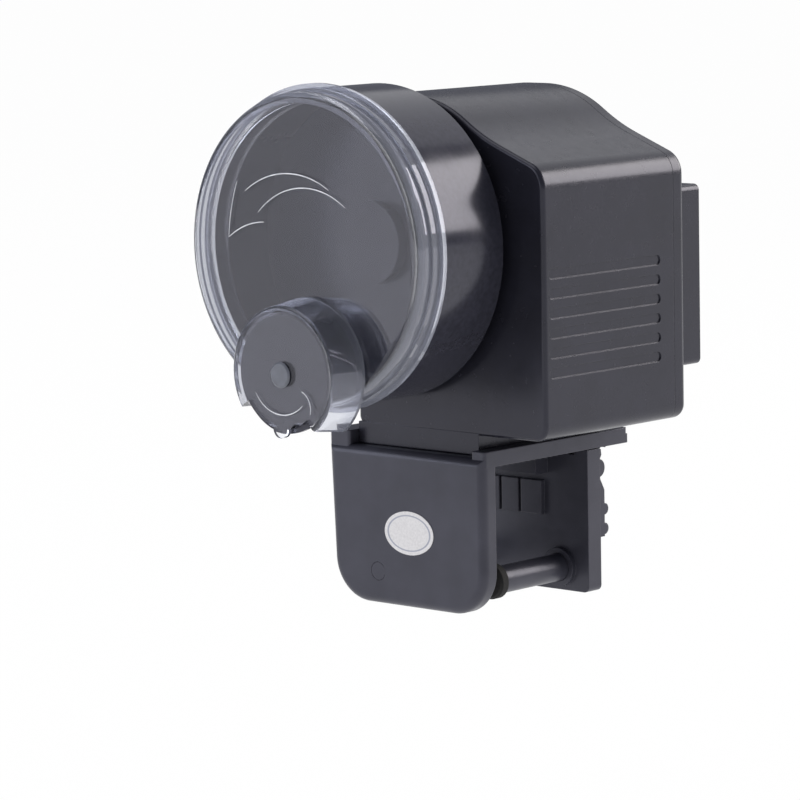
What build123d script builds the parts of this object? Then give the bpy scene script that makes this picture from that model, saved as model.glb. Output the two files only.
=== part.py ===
from build123d import *
import os
from math import acos, cos, degrees, radians, sin, sqrt, tan

# Automatic fish feeder that clamps to the rim of an aquarium.
# Frame: origin on the centre line of the fixed jaw's inner face, 16.5 mm below the bracket's floor,
# x to the right, y towards the back, z up. Millimetres.

os.makedirs("parts", exist_ok=True)

# ---------------------------------------------------------------- driving dimensions
wall = 2.0                  # moulded casing wall
running = 0.05              # radial clearance of a running fit
slide_gap = 0.2             # clearance of a sliding fit

drum_x = -6.75              # drum axis, parallel to y
drum_z = 68.0
drum_r = 37.0               # outside of the food drum
drum_wall = 1.6
drum_front = -24.2
drum_back = -2.5
drum_floor = -5.8           # front face of the drum's floor
hub_r = 10.0                # hub seen through the lid
hub_front = -8.8
socket_r = 4.05             # D-shaped socket for the drive shaft
socket_depth = 5.1

lid_front = -31.8
lid_r = 36.5
lid_flange_r = 38.1
lid_thickness = 1.5

dial_x = 2.5                # outlet dial axis, measured from the drum axis
dial_z = -27.5
dial_front = -42.0
dial_back = -32.1
dial_front_r = 15.7
dial_back_r = 17.0
dial_wall = 1.3
mouth_from = 212.0          # degrees, counter-clockwise seen from the front
mouth_to = 308.0
mouth_face_r = 12.5
gate_front = -40.5          # fixed disc behind the dial's face
gate_r = 13.7
gate_thickness = 1.2
pivot_r = 1.5

case_front = -0.5
case_seam = 46.9
case_back = 51.5
case_right = 46.4           # these four are measured from the drum axis
case_left = -12.25
case_bottom = -44.6
case_top = 34.4
hump_end = 5.0              # where the flat top starts to fall
hump_r = 31.0
saddle_r = 50.0
steepest = 35.0             # degrees
shoulder_slope = 22.0       # degrees
shoulder_r = 6.0

groove_count = 6
groove_pitch = 4.59
groove_height = 2.35
groove_top = -4.7           # measured from the drum axis
groove_depth = 0.3
groove_start = 1.2
groove_length = 40.6

foot_half = 19.0
foot_bottom = 18.9
rail_in = 19.2              # bracket channel
rail_out = 23.5
rail_top = 20.2
floor_top = 18.7
floor_bottom = 16.5
bracket_front = -4.5
bracket_back = 48.6
bracket_bottom = -18.8
plate_left_top = -25.6      # the front plate leans outwards at the left
plate_left_low = -24.1
left_rail_top = 22.1
rim_rest_low = 13.0         # block that stands on the aquarium's rim
rim_rest_depth = 5.4
rim_rest_half = 12.0
tee_stem = 5.0              # half width of a T-rail's stem
tee_head = 8.0              # half width of its head
high_tee_neck = 20.3        # T-rail that carries the feeder
high_tee_top = 22.1
low_tee_neck = 14.8         # T-rail that carries the moving jaw
low_tee_bottom = 13.4

rack_pitch = 2.0
rack_depth = 1.2
rack_in = 15.0
rack_out = 19.0
rack_start = 6.0
rack_teeth = 20

jaw_front = 33.5
jaw_back = 38.2
jaw_bottom = -18.2
screw_x = 14.75             # clamp screws, either side of the middle
screw_z = -12.6
screw_r = 3.3
pad_front = 7.0
pad_r = 4.2
pad_thickness = 2.5
pad_floor = 1.2             # rubber between the screw's tip and the wall

lever_y = 40.4              # release lever's pivot
lever_z = 11.0
lever_half = 19.0
lever_low = -6.4
pawl_tip = 15.05            # just below the rack's teeth
grip_y = 45.2
ridge_r = 1.4
pin_r = 1.0
pin_end = 20.5

shaft_r = 4.0               # drive shaft in its bush
gear_seat_r = 3.5
journal_r = 2.5             # its back end, in the gear plate

gear_module = 0.8
pressure_angle = 20.0
small_teeth = 15
large_teeth = 40
output_teeth = 45
backlash = 0.14             # taken off each tooth's thickness
idler_direction = -20.0     # degrees, seen from the drum axis
pinion_direction = -110.0   # degrees, seen from the idler axis
output_layer = (4.2, 8.2)
input_layer = (9.2, 12.2)
plate_front = 13.7
plate_back = 15.7

panel_left = -0.5           # control panel, measured from the drum axis
panel_right = 42.0
panel_low = -33.0
panel_high = 10.4
panel_step = 62.4
panel_back = 64.0
panel_wall = 1.6
panel_margin = 3.5
button_count = 4
button_pitch = 8.6
button_r = 3.0
button_row = -18.5
screen_z = -2.0             # screen centre above the drum axis

cell_x = -8.5               # battery cells, upright, measured from the drum axis
cell_r = 7.1
cell_rows = (25.7, 40.4)
cell_low = -24.6
cell_high = 24.6

drum_axis = Axis((drum_x, 0, drum_z), (0, 1, 0))


# ---------------------------------------------------------------- planes and outlines
def across(y):
    """Plane across the depth at y, seen from the front, centred on the drum axis."""
    return Plane(origin=(drum_x, y, drum_z), x_dir=(1, 0, 0), z_dir=(0, -1, 0))


def across_middle(y):
    """The same, centred on the bracket's own middle."""
    return Plane(origin=(0, y, 0), x_dir=(1, 0, 0), z_dir=(0, -1, 0))


def across_at(x, z, y):
    """The same, centred on any axis parallel to y."""
    return Plane(origin=(x, y, z), x_dir=(1, 0, 0), z_dir=(0, -1, 0))


def through(x, z):
    """Plane that holds an axis parallel to y: its own x is a radius and its own y is the depth."""
    return Plane(origin=(x, 0, z), x_dir=(1, 0, 0), z_dir=(0, 0, 1))


def polar(radius, angle):
    """Point at a radius and an angle in degrees."""
    return (radius * cos(radians(angle)), radius * sin(radians(angle)))


def save(part, name):
    """Labels a finished piece and writes it."""
    part.label = name
    export_step(part, f"parts/{name}.step")


def case_outline():
    """Closed outline of the casing: round at the left, with an S-curve from its top to the shoulder."""
    down = radians(steepest)
    ease = radians(shoulder_slope)
    hump_low = (hump_end + hump_r * sin(down), case_top - hump_r + hump_r * cos(down))
    hump_mid = (hump_end + hump_r * sin(down / 2), case_top - hump_r + hump_r * cos(down / 2))
    centre = (hump_low[0] + saddle_r * sin(down), hump_low[1] + saddle_r * cos(down))
    half = (down + ease) / 2
    saddle_mid = (centre[0] - saddle_r * sin(half), centre[1] - saddle_r * cos(half))
    saddle_low = (centre[0] - saddle_r * sin(ease), centre[1] - saddle_r * cos(ease))
    shoulder = (case_right, saddle_low[1] - (case_right - saddle_low[0]) * tan(ease))
    corner = (case_left, -sqrt(case_top**2 - case_left**2))
    with BuildSketch() as outline:
        with BuildLine():
            Line((0, case_top), (hump_end, case_top))
            ThreePointArc((hump_end, case_top), hump_mid, hump_low)
            ThreePointArc(hump_low, saddle_mid, saddle_low)
            Line(saddle_low, shoulder)
            Line(shoulder, (case_right, case_bottom))
            Line((case_right, case_bottom), (case_left, case_bottom))
            Line((case_left, case_bottom), corner)
            ThreePointArc(corner, (-case_top, 0), (0, case_top))
        make_face()
        fillet(vertices().group_by(Axis.X)[-1].sort_by(Axis.Y)[-1], radius=shoulder_r)
        fillet(vertices().group_by(Axis.Y)[0].sort_by(Axis.X)[-1], radius=3.5)
        fillet(vertices().group_by(Axis.Y)[0].sort_by(Axis.X)[0], radius=2.0)
    return outline.sketch


def gear_outline(teeth, tooth_at):
    """Closed outline of a spur gear with one tooth at the angle tooth_at.

    Each flank is an arc through three points of the involute, with a radial line below the base circle.
    """
    pitch_r = gear_module * teeth / 2
    base_r = pitch_r * cos(radians(pressure_angle))
    tip_r = pitch_r + 0.85 * gear_module
    root_r = pitch_r - 1.2 * gear_module
    half_tooth = 90 / teeth - degrees(backlash / 2 / pitch_r)

    def involute(radius):
        """Angle in degrees that the flank has turned through when it reaches a radius."""
        if radius <= base_r:
            return 0.0
        roll = acos(base_r / radius)
        return degrees(tan(roll) - roll)

    start_r = max(base_r, root_r)
    stations = [start_r, (start_r + tip_r) / 2, tip_r]
    spread = [half_tooth + involute(pitch_r) - involute(r) for r in stations]
    step = 360 / teeth
    with BuildSketch() as outline:
        with BuildLine():
            for n in range(teeth):
                at = tooth_at + n * step
                rise = [polar(r, at - s) for r, s in zip(stations, spread)]
                fall = [polar(r, at + s) for r, s in zip(stations, spread)]
                low = polar(root_r, at - spread[0])
                low_end = polar(root_r, at + spread[0])
                next_low = polar(root_r, at + step - spread[0])
                if start_r > root_r:
                    Line(low, rise[0])
                    Line(fall[0], low_end)
                ThreePointArc(*rise)
                Line(rise[2], fall[2])
                ThreePointArc(*reversed(fall))
                Line(low_end, next_low)
        make_face()
    return outline.sketch


# ================================================================ bracket (stays on the aquarium rim)
with BuildPart() as bracket_frame:
    with BuildSketch(across_middle(bracket_front)):
        with BuildLine():
            Polyline((plate_left_top, floor_top), (plate_left_low, bracket_bottom),
                     (rail_out, bracket_bottom), (rail_out, floor_top), close=True)
        make_face()
        fillet(vertices().group_by(Axis.Y)[0], radius=10.5)
    extrude(amount=bracket_front)
    fillet(faces().sort_by(Axis.Y)[0].edges(), radius=2.0)
    with BuildSketch(Plane.XY.offset(floor_bottom)):
        with Locations((0, (bracket_back - 1.0) / 2)):
            Rectangle(2 * rail_out, bracket_back + 1.0)
    extrude(amount=floor_top - floor_bottom)
    with BuildSketch(Plane.XY.offset(floor_bottom)):
        middle = (bracket_back + bracket_front) / 2 + 0.4
        with Locations(((rail_in + rail_out) / 2, middle)):
            RectangleRounded(rail_out - rail_in, bracket_back - bracket_front - 0.8, radius=0.8)
    extrude(amount=rail_top - floor_bottom)
    # the left rail is taller and wider
    with BuildSketch(Plane.XY.offset(floor_bottom)):
        with Locations(((plate_left_top - rail_in) / 2, middle)):
            RectangleRounded(-plate_left_top - rail_in, bracket_back - bracket_front - 0.8, radius=0.8)
    extrude(amount=left_rail_top - floor_bottom)
    with BuildSketch(Plane.XY.offset(rim_rest_low)):
        with Locations((0, rim_rest_depth / 2)):
            Rectangle(2 * rim_rest_half, rim_rest_depth)
    extrude(amount=floor_bottom - rim_rest_low)
    # T-rail on top carries the feeder, T-rail below carries the moving jaw
    with BuildSketch(across_middle(2.0)):
        with Locations((0, (floor_top + high_tee_neck) / 2)):
            Rectangle(2 * tee_stem, high_tee_neck - floor_top)
        with Locations((0, (high_tee_neck + high_tee_top) / 2)):
            Rectangle(2 * tee_head, high_tee_top - high_tee_neck)
    extrude(amount=-42.0)
    with BuildSketch(across_middle(0.0)):
        with Locations((0, (floor_bottom + low_tee_neck) / 2)):
            Rectangle(2 * tee_stem, floor_bottom - low_tee_neck)
        with Locations((0, (low_tee_neck + low_tee_bottom) / 2)):
            Rectangle(2 * tee_head, low_tee_neck - low_tee_bottom)
    extrude(amount=-(bracket_back - 0.6))
    # saw-tooth racks, one each side, steep towards the back
    for side in (-1, 1):
        rack_x = side * (rack_in + rack_out) / 2 - (rack_out - rack_in) / 2
        with BuildSketch(Plane(origin=(rack_x, 0, 0), x_dir=(0, 1, 0), z_dir=(1, 0, 0))):
            with BuildLine():
                outline = [(rack_start, floor_bottom)]
                for n in range(rack_teeth):
                    y = rack_start + n * rack_pitch
                    outline += [(y + 0.2, floor_bottom - 0.2), (y + 1.5, floor_bottom - rack_depth)]
                    outline += [(y + 1.8, floor_bottom - rack_depth), (y + 2.0, floor_bottom - 0.2)]
                outline += [(rack_start + rack_teeth * rack_pitch, floor_bottom)]
                Polyline(outline, close=True)
            make_face()
        extrude(amount=rack_out - rack_in)
save(bracket_frame.part, "bracket_frame")

with BuildPart() as inspection_sticker:
    with BuildSketch(across_middle(bracket_front - 0.02)):
        with Locations((0.25, -0.8)):
            Ellipse(7.7, 5.2)
    extrude(amount=0.13)
save(inspection_sticker.part, "inspection_sticker")

# ================================================================ moving jaw
with BuildPart() as clamp_jaw:
    with BuildSketch(across_middle(jaw_front)):
        with Locations((0, (jaw_bottom + floor_bottom - slide_gap) / 2)):
            Rectangle(2 * rail_out, floor_bottom - slide_gap - jaw_bottom)
        fillet(vertices().group_by(Axis.Y)[0], radius=1.5)
    extrude(amount=-(jaw_back - jaw_front))
    # the head hangs on the T-rail
    with BuildSketch(across_middle(jaw_front - 4.5)):
        with Locations((0, 13.15)):
            Rectangle(22.0, 6.3)
    extrude(amount=-4.5)
    # raised panel on the front face, split by two slits
    with BuildSketch(across_middle(jaw_front - 1.2)):
        with Locations((0, 3.9)):
            Rectangle(19.8, 8.2)
        with Locations((-3.05, 3.9), (3.05, 3.9)):
            Rectangle(0.8, 8.2, mode=Mode.SUBTRACT)
    extrude(amount=-1.2)
    # bosses round the screw holes
    with BuildSketch(across_middle(jaw_front - 1.2)):
        with Locations((-screw_x, screw_z), (screw_x, screw_z)):
            Circle(screw_r + 1.4)
    extrude(amount=-1.2)
    # lugs for the lever's pivot
    for side in (-1, 1):
        with BuildSketch(Plane(origin=(side * 20.3 - 1.0, 0, 0), x_dir=(0, 1, 0), z_dir=(1, 0, 0))):
            with Locations(((jaw_back + lever_y) / 2, lever_z)):
                Rectangle(lever_y - jaw_back, 4.4)
            with Locations((lever_y, lever_z)):
                Circle(2.2)
        extrude(amount=2.0)
    with BuildSketch(across_middle(jaw_front - 5.0)):
        with Locations((0, (floor_bottom + low_tee_neck) / 2)):
            Rectangle(2 * (tee_stem + slide_gap), floor_bottom - low_tee_neck + 0.4)
        with Locations((0, (low_tee_neck + low_tee_bottom) / 2)):
            Rectangle(2 * (tee_head + slide_gap), low_tee_neck - low_tee_bottom + 2 * slide_gap)
    extrude(amount=-12.0, mode=Mode.SUBTRACT)
    # room under the racks
    with BuildSketch(across_middle(jaw_front - 1.0)):
        for side in (-1, 1):
            with Locations((side * (rack_in + rack_out) / 2, floor_bottom - 0.7)):
                Rectangle(rack_out - rack_in + 1.0, 1.6)
    extrude(amount=-7.0, mode=Mode.SUBTRACT)
    with BuildSketch(across_middle(jaw_front - 2.0)):
        with Locations((-screw_x, screw_z), (screw_x, screw_z)):
            Circle(screw_r + running)
    extrude(amount=-8.0, mode=Mode.SUBTRACT)
    # the pin's hole is open at the left only
    with BuildSketch(Plane(origin=(-23, 0, 0), x_dir=(0, 1, 0), z_dir=(1, 0, 0))):
        with Locations((lever_y, lever_z)):
            Circle(pin_r)
    extrude(amount=23.0 + pin_end + 0.1, mode=Mode.SUBTRACT)
save(clamp_jaw.part, "clamp_jaw")

with BuildPart() as lever_pin:
    with BuildSketch(Plane(origin=(-21.6, 0, 0), x_dir=(0, 1, 0), z_dir=(1, 0, 0))):
        with Locations((lever_y, lever_z)):
            Circle(pin_r)
    extrude(amount=21.6 + pin_end)
    chamfer(edges().filter_by(GeomType.CIRCLE), length=0.2)
save(lever_pin.part, "lever_pin")

with BuildPart() as release_lever:
    with BuildSketch(Plane(origin=(-lever_half, 0, 0), x_dir=(0, 1, 0), z_dir=(1, 0, 0))):
        with Locations((lever_y, lever_z)):
            Circle(1.9)
        with BuildLine():
            Polyline((40.6, 9.2), (42.7, 6.0), (43.3, lever_low), (grip_y, lever_low),
                     (grip_y, 5.0), (42.2, 10.4), close=True)
        make_face()
        with BuildLine():
            Polyline((40.8, 12.6), (43.1, pawl_tip), (44.0, pawl_tip), (44.2, 13.6), (41.8, 9.9),
                     close=True)
        make_face()
        with Locations((grip_y, 0.3), (grip_y, -4.5)):
            Circle(ridge_r)
        with Locations((lever_y, lever_z)):
            Circle(pin_r + running, mode=Mode.SUBTRACT)
    extrude(amount=2 * lever_half)
    # pawls only under the racks
    with BuildSketch(across_middle(lever_y - 2.0)):
        with Locations((0, lever_z + 1.95 + 1.5)):
            Rectangle(2 * rack_in + 0.6, 3.0)
    extrude(amount=-8.0, mode=Mode.SUBTRACT)
save(release_lever.part, "release_lever")

with BuildPart() as lever_spring:
    with BuildLine() as coil:
        Helix(pitch=1.0, height=4.0, radius=2.0, center=(0, jaw_back + 0.35, 0), direction=(0, 1, 0))
    with BuildSketch(Plane(origin=coil.line @ 0, z_dir=coil.line % 0)):
        Circle(0.28)
    sweep()
save(lever_spring.part, "lever_spring")

for side, name in ((-1, "left"), (1, "right")):
    with BuildPart() as clamp_pad:
        with BuildSketch(through(side * screw_x, screw_z)):
            with BuildLine():
                Polyline((0, pad_front), (pad_r - 0.6, pad_front), (pad_r, pad_front + 0.6),
                         (pad_r, pad_front + pad_thickness), (screw_r + running, pad_front + pad_thickness),
                         (screw_r + running, pad_front + pad_floor), (0, pad_front + pad_floor), close=True)
            make_face()
        revolve(axis=Axis((side * screw_x, 0, screw_z), (0, 1, 0)))
    save(clamp_pad.part, f"clamp_pad_{name}")

    with BuildPart() as clamp_screw:
        screw_tip = pad_front + pad_floor + 0.05
        with BuildSketch(across_at(side * screw_x, screw_z, screw_tip)):
            Circle(screw_r)
        extrude(amount=-(jaw_back - 0.2 - screw_tip))
        chamfer(edges().filter_by(GeomType.CIRCLE), length=0.4)
        # slot for a coin or a screwdriver
        with BuildSketch(across_at(side * screw_x, screw_z, jaw_back - 1.9)):
            Rectangle(8.0, 1.4)
        extrude(amount=-2.0, mode=Mode.SUBTRACT)
    save(clamp_screw.part, f"clamp_screw_{name}")

# ================================================================ casing (slides on the bracket)
idler_centre = polar(gear_module * (output_teeth + small_teeth) / 2, idler_direction)
pinion_offset = polar(gear_module * (large_teeth + small_teeth) / 2, pinion_direction)
pinion_centre = (idler_centre[0] + pinion_offset[0], idler_centre[1] + pinion_offset[1])
case_screw_spots = [(39.3, -37.5), (39.3, 8.5), (-20.6, 18.2), (-7.2, -39.4)]
plate_posts = [(-2.0, -32.0), (34.5, -28.5), (22.0, 17.0), (-3.0, 22.5)]

with BuildPart() as housing_shell:
    with BuildSketch(across(case_front)):
        add(case_outline())
    extrude(amount=-(case_seam - case_front))
    fillet(faces().sort_by(Axis.Y)[0].edges(), radius=1.0)
    with BuildSketch(across(case_front + wall)):
        add(case_outline())
        offset(amount=-wall, kind=Kind.INTERSECTION, mode=Mode.REPLACE)
    extrude(amount=-60.0, mode=Mode.SUBTRACT)
    # sunken finger grooves on the right side
    with BuildSketch(Plane(origin=(drum_x + case_right, 0, drum_z), x_dir=(0, 1, 0), z_dir=(1, 0, 0))):
        for n in range(groove_count):
            height = groove_top - n * groove_pitch - groove_height / 2
            with Locations((groove_start + groove_length / 2, height)):
                SlotOverall(groove_length, groove_height)
    extrude(amount=-groove_depth, mode=Mode.SUBTRACT)
    # foot with a T-slot, open at the back
    with BuildSketch(Plane.XY.offset(foot_bottom)):
        with Locations((0, (case_front + 43.5) / 2)):
            Rectangle(2 * foot_half, 43.5 - case_front)
    extrude(amount=drum_z + case_bottom + 0.6 - foot_bottom)
    with BuildSketch(across_middle(1.5)):
        with Locations((0, (foot_bottom + high_tee_neck) / 2)):
            Rectangle(2 * (tee_stem + slide_gap), high_tee_neck - foot_bottom + slide_gap)
        with Locations((0, (high_tee_neck + high_tee_top) / 2)):
            Rectangle(2 * (tee_head + slide_gap), high_tee_top - high_tee_neck + 2 * slide_gap)
    extrude(amount=-60.0, mode=Mode.SUBTRACT)
    # bush seat, posts of the gear plate and screw bosses
    with BuildSketch(across(case_front + wall)):
        Circle(9.0)
    extrude(amount=-1.5)
    with BuildSketch(across(case_front + wall)):
        with Locations(idler_centre):
            Circle(3.5)
    extrude(amount=-2.0)
    with BuildSketch(across(case_front + wall)):
        with Locations(*plate_posts):
            Circle(2.5)
    extrude(amount=-(plate_front - case_front - wall))
    with BuildSketch(across(case_front + wall)):
        with Locations(*case_screw_spots):
            Circle(3.0)
    extrude(amount=-(case_seam - case_front - wall))
    with BuildSketch(across(case_front - 1.0)):
        Circle(6.5)
    extrude(amount=-6.0, mode=Mode.SUBTRACT)
    with BuildSketch(across(case_front + 1.2)):
        with Locations(idler_centre):
            Circle(pin_r)
    extrude(amount=-4.0, mode=Mode.SUBTRACT)
    with BuildSketch(across(plate_front - 8.0)):
        with Locations(*plate_posts):
            Circle(0.9)
    extrude(amount=-9.0, mode=Mode.SUBTRACT)
    with BuildSketch(across(case_seam - 14.0)):
        with Locations(*case_screw_spots):
            Circle(1.25)
    extrude(amount=-15.0, mode=Mode.SUBTRACT)
save(housing_shell.part, "housing_shell")

door_left = cell_x - cell_r - 0.4
door_right = cell_x + cell_r + 0.2
door_half = 26.3
with BuildPart() as rear_cover:
    with BuildSketch(across(case_seam + 0.05)):
        add(case_outline())
    extrude(amount=-(case_back - case_seam - 0.05))
    fillet(faces().sort_by(Axis.Y)[-1].edges(), radius=1.9)
    with BuildSketch(across(case_seam - 1.0)):
        add(case_outline())
        offset(amount=-wall, kind=Kind.INTERSECTION, mode=Mode.REPLACE)
    extrude(amount=-(case_back - wall - case_seam + 1.0), mode=Mode.SUBTRACT)
    with BuildSketch(across(case_seam + 0.05)):
        with Locations(*case_screw_spots):
            Circle(4.2)
    extrude(amount=-(case_back - wall - case_seam))
    with BuildSketch(across(case_back - 1.7)):
        with Locations(*case_screw_spots):
            Circle(3.1)
    extrude(amount=-3.0, mode=Mode.SUBTRACT)
    with BuildSketch(across(case_seam - 1.0)):
        with Locations(*case_screw_spots):
            Circle(1.6)
    extrude(amount=-6.0, mode=Mode.SUBTRACT)
    # battery opening and wiring window
    with BuildSketch(across(case_seam)):
        with Locations(((door_left + door_right) / 2, 0)):
            RectangleRounded(door_right - door_left, 2 * door_half, radius=1.0)
        with Locations((20.75, -11.5)):
            RectangleRounded(30.0, 24.0, radius=2.0)
    extrude(amount=-8.0, mode=Mode.SUBTRACT)
save(rear_cover.part, "rear_cover")

with BuildPart() as battery_door:
    with BuildSketch(across(case_back - wall + 0.1)):
        with Locations(((door_left + door_right) / 2, 0)):
            RectangleRounded(door_right - door_left - 0.3, 2 * door_half - 0.3, radius=0.9)
    extrude(amount=-(wall - 0.1))
    # ribs for the thumb and a spring tongue at the top
    with BuildSketch(across(case_back)):
        with Locations(*[((door_left + door_right) / 2, 12.0 + 1.8 * n) for n in range(5)]):
            Rectangle(9.0, 0.8)
    extrude(amount=-0.5)
    with BuildSketch(across(case_back - 3.4)):
        with Locations(((door_left + door_right) / 2, door_half - 1.1)):
            Rectangle(5.0, 1.0)
    extrude(amount=-1.6)
save(battery_door.part, "battery_door")

with BuildPart() as battery_holder:
    holder_front = cell_rows[0] - cell_r - 1.3
    holder_back = case_seam - 0.2
    with BuildSketch(across(holder_front)):
        with Locations(((door_left + door_right) / 2, 0)):
            RectangleRounded(2 * cell_r + 2.6, 54.4, radius=1.0)
    extrude(amount=-(holder_back - holder_front))
    with BuildSketch(across(holder_front + 1.0)):
        with Locations(((door_left + door_right) / 2, 0)):
            Rectangle(2 * cell_r + 0.6, 52.4)
    extrude(amount=-60.0, mode=Mode.SUBTRACT)
save(battery_holder.part, "battery_holder")

for y, name in zip(cell_rows, ("front", "rear")):
    with BuildPart() as battery_cell:
        with BuildSketch(across_at(drum_x + cell_x, drum_z, y)):
            with BuildLine():
                Polyline((0, cell_low), (cell_r - 0.5, cell_low), (cell_r, cell_low + 0.5),
                         (cell_r, cell_high - 1.9), (cell_r - 0.6, cell_high - 1.3),
                         (2.75, cell_high - 1.3), (2.75, cell_high), (0, cell_high), close=True)
            make_face()
        revolve(axis=Axis((drum_x + cell_x, y, drum_z), (0, 0, 1)))
    save(battery_cell.part, f"battery_cell_{name}")

with BuildPart() as battery_contacts:
    for y in cell_rows:
        with BuildSketch(Plane(origin=(drum_x + cell_x, y, drum_z + cell_high + 0.1))):
            Rectangle(10.0, 10.0)
        extrude(amount=0.5)
        with BuildSketch(Plane(origin=(drum_x + cell_x, y, drum_z + cell_low - 1.5))):
            Rectangle(10.0, 10.0)
        extrude(amount=0.5)
        with BuildSketch(Plane(origin=(drum_x + cell_x, y, drum_z + cell_low - 1.0))):
            Circle(3.4)
            Circle(2.7, mode=Mode.SUBTRACT)
        extrude(amount=0.9)
save(battery_contacts.part, "battery_contacts")

with BuildPart() as case_screws:
    with BuildSketch(across(case_back - 1.65)):
        with Locations(*case_screw_spots):
            Circle(2.8)
    extrude(amount=-1.3)
    with BuildSketch(across(case_back - 1.65)):
        with Locations(*case_screw_spots):
            Circle(1.2)
    extrude(amount=12.0)
    with BuildSketch(across(case_back - 0.85)):
        with Locations(*case_screw_spots):
            Rectangle(3.2, 0.7)
            Rectangle(0.7, 3.2)
    extrude(amount=-1.0, mode=Mode.SUBTRACT)
save(case_screws.part, "case_screws")

# ================================================================ control panel on the back
panel_middle = ((panel_left + panel_right) / 2, (panel_low + panel_high) / 2)
panel_size = (panel_right - panel_left, panel_high - panel_low)
first_button = panel_middle[0] - (button_count - 1) / 2 * button_pitch
button_spots = [(first_button + n * button_pitch, button_row) for n in range(button_count)]
board_back = panel_step - 5.0
board_front = board_back - 1.6
button_front = panel_step - 1.5
button_back = panel_back + 0.8
board_posts = [(panel_middle[0] + sx * 17.0, panel_middle[1] + sz * 17.8)
               for sx in (-1, 1) for sz in (-1, 1)]

with BuildPart() as control_panel:
    with BuildSketch(across(case_back + 0.05)):
        with Locations(panel_middle):
            RectangleRounded(*panel_size, radius=1.5)
    extrude(amount=-(panel_step - case_back - 0.05))
    with BuildSketch(across(panel_step)):
        with Locations(panel_middle):
            RectangleRounded(panel_size[0] - 2.0, panel_size[1] - 2 * panel_margin, radius=1.5)
    extrude(amount=-(panel_back - panel_step))
    fillet(faces().sort_by(Axis.Y)[-1].edges(), radius=0.6)
    with BuildSketch(across(case_back)):
        with Locations(panel_middle):
            RectangleRounded(panel_size[0] - 2 * panel_wall, panel_size[1] - 2 * panel_wall, radius=0.8)
    extrude(amount=-(panel_step - 0.6 - case_back), mode=Mode.SUBTRACT)
    with BuildSketch(across(board_back)):
        with Locations(*board_posts):
            Circle(2.2)
    extrude(amount=-(panel_step - 0.3 - board_back))
    with BuildSketch(across(board_back - 1.0)):
        with Locations(*board_posts):
            Circle(0.8)
    extrude(amount=-4.6, mode=Mode.SUBTRACT)
    with BuildSketch(across(board_back)):
        with Locations((panel_middle[0], screen_z)):
            RectangleRounded(27.0, 14.0, radius=1.0)
        with Locations(*button_spots):
            Circle(button_r + 0.2)
    extrude(amount=-10.0, mode=Mode.SUBTRACT)
save(control_panel.part, "control_panel")

with BuildPart() as circuit_board:
    with BuildSketch(across(board_front)):
        with Locations(panel_middle):
            Rectangle(38.5, 39.0)
        with Locations(*board_posts):
            Circle(1.1, mode=Mode.SUBTRACT)
    extrude(amount=-(board_back - board_front - 0.05))
    with BuildSketch(across(board_front - 1.0)):
        with Locations((panel_middle[0] - 6.0, panel_middle[1])):
            Rectangle(7.0, 7.0)
        with Locations((panel_middle[0] + 7.0, panel_middle[1] - 4.0)):
            Rectangle(4.0, 5.0)
    extrude(amount=-1.1)
save(circuit_board.part, "circuit_board")

with BuildPart() as board_screws:
    with BuildSketch(across(board_front - 1.25)):
        with Locations(*board_posts):
            Circle(1.8)
    extrude(amount=-1.2)
    with BuildSketch(across(board_front - 0.1)):
        with Locations(*board_posts):
            Circle(0.75)
    extrude(amount=-4.6)
save(board_screws.part, "board_screws")

with BuildPart() as lcd_module:
    with BuildSketch(across(board_back)):
        with Locations((panel_middle[0], screen_z)):
            Rectangle(29.0, 16.0)
    extrude(amount=-3.2)
save(lcd_module.part, "lcd_module")

with BuildPart() as lcd_window:
    with BuildSketch(across(board_back + 3.3)):
        with Locations((panel_middle[0], screen_z)):
            Rectangle(29.0, 16.0)
    extrude(amount=-(panel_step - 0.65 - board_back - 3.3))
    with BuildSketch(across(board_back + 3.3)):
        with Locations((panel_middle[0], screen_z)):
            RectangleRounded(26.7, 13.7, radius=0.9)
    extrude(amount=-(panel_back - 0.3 - board_back - 3.3))
save(lcd_window.part, "lcd_window")

with BuildPart() as key_switches:
    with BuildSketch(across(board_back)):
        with Locations(*button_spots):
            Rectangle(6.0, 6.0)
    extrude(amount=-2.4)
    with BuildSketch(across(board_back)):
        with Locations(*button_spots):
            Circle(1.5)
    extrude(amount=-2.9)
save(key_switches.part, "key_switches")

for spot, name in zip(button_spots, ("mode", "minus", "plus", "feed")):
    with BuildPart() as button:
        with BuildSketch(through(drum_x + spot[0], drum_z + spot[1])):
            with BuildLine():
                Polyline((0, button_front), (3.7, button_front), (3.7, button_front + 0.7),
                         (button_r, button_front + 0.7), (button_r, button_back - 0.4),
                         (button_r - 0.4, button_back), (0, button_back), close=True)
            make_face()
        revolve(axis=Axis((drum_x + spot[0], 0, drum_z + spot[1]), (0, 1, 0)))
    save(button.part, f"button_{name}")

# ================================================================ gear train and motor
with BuildPart() as output_bush:
    with BuildSketch(through(drum_x, drum_z)):
        with BuildLine():
            Polyline((shaft_r + running, -1.3), (8.0, -1.3), (8.0, case_front - 0.05),
                     (6.45, case_front - 0.05), (6.45, 3.5), (shaft_r + running, 3.5), close=True)
        make_face()
    revolve(axis=drum_axis)
save(output_bush.part, "output_bush")

with BuildPart() as drive_shaft:
    with BuildSketch(through(drum_x, drum_z)):
        with BuildLine():
            Polyline((0, -7.4), (shaft_r - 0.4, -7.4), (shaft_r, -7.0), (shaft_r, 3.9), (gear_seat_r, 3.9),
                     (gear_seat_r, 8.6), (journal_r, 8.6), (journal_r, 15.4), (0, 15.4), close=True)
        make_face()
    revolve(axis=drum_axis)
    with BuildSketch(across(-8.0)):
        with Locations((5.2, 0)):
            Rectangle(4.0, 10.0)
    extrude(amount=-6.0, mode=Mode.SUBTRACT)
save(drive_shaft.part, "drive_shaft")

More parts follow.
